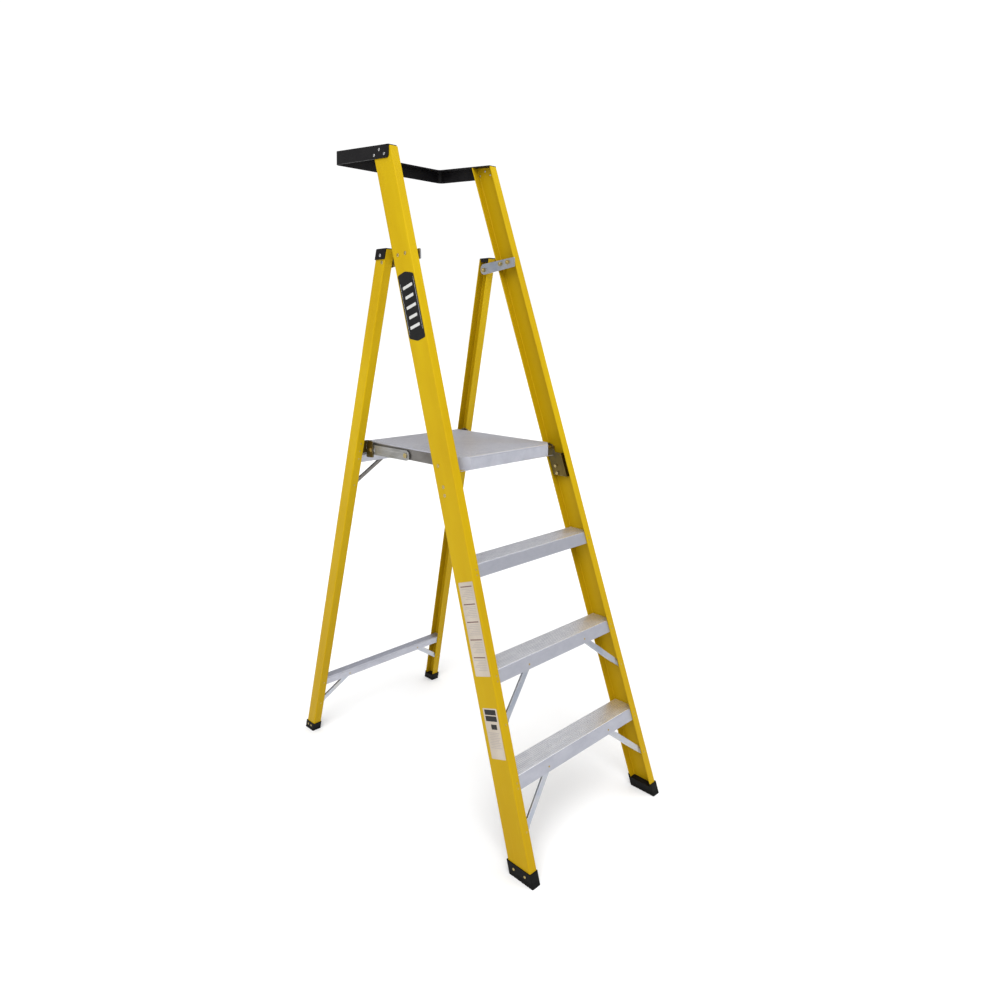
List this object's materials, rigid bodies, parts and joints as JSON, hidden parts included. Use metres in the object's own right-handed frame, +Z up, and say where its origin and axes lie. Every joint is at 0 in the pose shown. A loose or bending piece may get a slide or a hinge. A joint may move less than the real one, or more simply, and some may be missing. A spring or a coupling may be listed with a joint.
{
  "type": "platform step ladder",
  "caption": "Folding step ladder with channel rails, ribbed treads, a large standing platform, a waist-high U-shaped guard and splayed rear legs.",
  "frame": {"origin": "on the floor, in the middle of the footprint of the open ladder", "axes": "+Z up, +Y from the climbing side towards the rear legs, +X to the climber's right"},
  "size_m": [0.6582, 1.2604, 2.1412],
  "materials": {
    "rail_yellow": "satin pultruded fibreglass, safety yellow",
    "tread_aluminium": "mill-finish ribbed extrusion",
    "skirt_aluminium": "mill-finish channel",
    "link_aluminium": "brushed bar",
    "zinc_steel": "bright zinc plate",
    "dark_steel": "dark olive passivated",
    "guard_black": "black powder coat, fine texture",
    "cap_plastic": "moulded",
    "shoe_rubber": "matt, moulded",
    "rivet_metal": "satin",
    "fastener_zinc": "yellow passivated zinc",
    "badge_black": "printed film",
    "label_paper": "printed film"
  },
  "bodies": {
    "front_frame": {"caution_label": "label_paper", "front_rail_left": "rail_yellow", "front_rail_right": "rail_yellow", "front_shoe_left": "shoe_rubber", "front_shoe_right": "shoe_rubber", "front_shoe_rivets": "fastener_zinc", "guard_rail": "guard_black", "guard_rivets": "rivet_metal", "hinge_plate_bolts": "fastener_zinc", "hinge_plate_left": "zinc_steel", "hinge_plate_right": "zinc_steel", "hinge_plate_spacers": "fastener_zinc", "notice_label": "label_paper", "platform_bracket_bolts": "fastener_zinc", "platform_bracket_left": "dark_steel", "platform_bracket_right": "dark_steel", "platform_pivot_bolts": "fastener_zinc", "platform_pivot_spacers": "fastener_zinc", "rail_badge": "badge_black", "tread_1": "tread_aluminium", "tread_1_brace_left": "zinc_steel", "tread_1_brace_right": "zinc_steel", "tread_2": "tread_aluminium", "tread_2_brace_left": "zinc_steel", "tread_2_brace_right": "zinc_steel", "tread_3": "tread_aluminium", "tread_brace_rivets": "fastener_zinc", "tread_rivets": "fastener_zinc"},
    "rear_frame": {"crossbar_rivets": "fastener_zinc", "hinge_pivot_bolts": "fastener_zinc", "hinge_pivot_spacers": "fastener_zinc", "link_bracket_bolts": "fastener_zinc", "link_bracket_left": "dark_steel", "link_bracket_right": "dark_steel", "link_bracket_rivets": "fastener_zinc", "lower_brace_left": "zinc_steel", "lower_brace_right": "zinc_steel", "lower_crossbar": "tread_aluminium", "rear_brace_rivets": "fastener_zinc", "rear_cap_left": "cap_plastic", "rear_cap_right": "cap_plastic", "rear_cap_rivets": "rivet_metal", "rear_rail_left": "rail_yellow", "rear_rail_right": "rail_yellow", "rear_shoe_left": "shoe_rubber", "rear_shoe_right": "shoe_rubber", "rear_shoe_rivets": "fastener_zinc", "upper_brace_left": "skirt_aluminium", "upper_brace_right": "skirt_aluminium", "upper_crossbar": "tread_aluminium"},
    "platform": {"link_knee_pins": "fastener_zinc", "link_knee_washers": "fastener_zinc", "platform_deck": "tread_aluminium", "platform_deck_rivets": "rivet_metal", "platform_skirt_left": "skirt_aluminium", "platform_skirt_right": "skirt_aluminium"},
    "left_link": {"link_rear_pin_left": "fastener_zinc", "spreader_link_left": "link_aluminium"},
    "right_link": {"link_rear_pin_right": "fastener_zinc", "spreader_link_right": "link_aluminium"}
  },
  "joints": [
    {"name": "rear_fold", "type": "hinge", "parent": "front_frame", "child": "rear_frame", "pos_m": [0, 0.121, 1.78], "axis": [-1, 0, 0], "range_deg": [0, 33.25]},
    {"name": "platform_tilt", "type": "hinge", "parent": "front_frame", "child": "platform", "pos_m": [0, -0.169, 1.177], "axis": [1, 0, 0], "range_deg": [0, 71.51]},
    {"name": "right_link_fold", "type": "hinge", "parent": "platform", "child": "right_link", "pos_m": [0, 0.0573, 1.17427], "axis": [-1, 0, 0], "range_deg": [0, 165.11]},
    {"name": "left_link_fold", "type": "hinge", "parent": "platform", "child": "left_link", "pos_m": [0, 0.0573, 1.17427], "axis": [-1, 0, 0], "range_deg": [0, 165.11]}
  ],
  "couplings": [
    {"joint": "platform_tilt", "follows": "rear_fold", "ratio": 2.1505},
    {"joint": "right_link_fold", "follows": "rear_fold", "ratio": 4.9654},
    {"joint": "left_link_fold", "follows": "rear_fold", "ratio": 4.9654}
  ]
}
